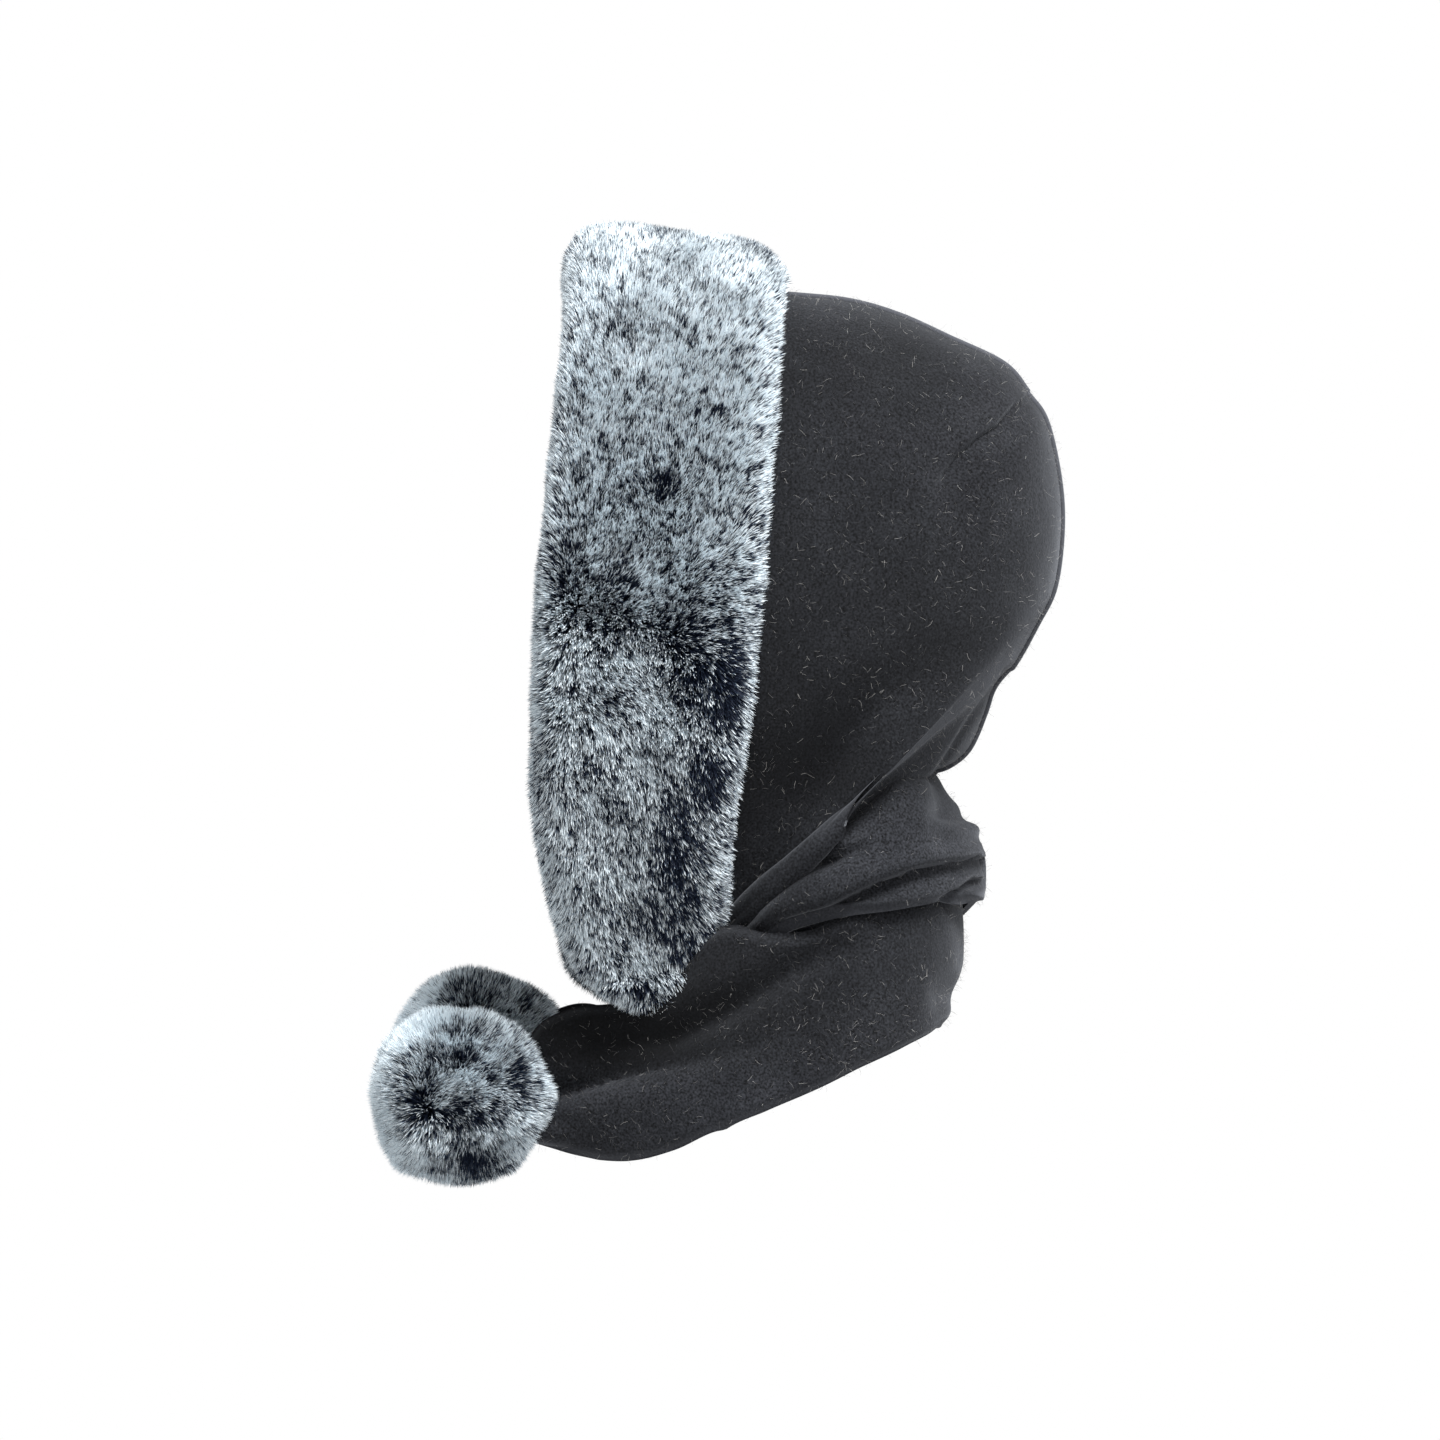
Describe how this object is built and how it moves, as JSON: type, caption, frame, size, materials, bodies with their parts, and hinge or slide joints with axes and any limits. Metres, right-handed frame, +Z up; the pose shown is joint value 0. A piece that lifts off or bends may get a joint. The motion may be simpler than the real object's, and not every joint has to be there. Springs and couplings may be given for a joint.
{
  "type": "fleece hood with fur trim and scarf tails",
  "caption": "Charcoal fleece hood with a frosted fur trim round the face, scarf tails wrapped round the neck and a fur pompom on each tail.",
  "frame": {"origin": "inner top of the crown, where the hood sits on the head that carries it", "axes": "+Z up along the hood's height, -Y out of the face opening, +X towards the wearer's left"},
  "size_m": [0.2452, 0.349, 0.4794],
  "materials": {
    "fleece": "matt napped fleece, dark charcoal",
    "fur": "soft faux fur, dark navy roots and frosted white tips"
  },
  "bodies": {
    "root": {"hood_panel_left": "fleece", "hood_panel_right": "fleece", "fur_trim": "fur", "scarf_tail_left": "fleece", "scarf_tail_right": "fleece", "pompom_left": "fur", "pompom_right": "fur"}
  },
  "joints": []
}
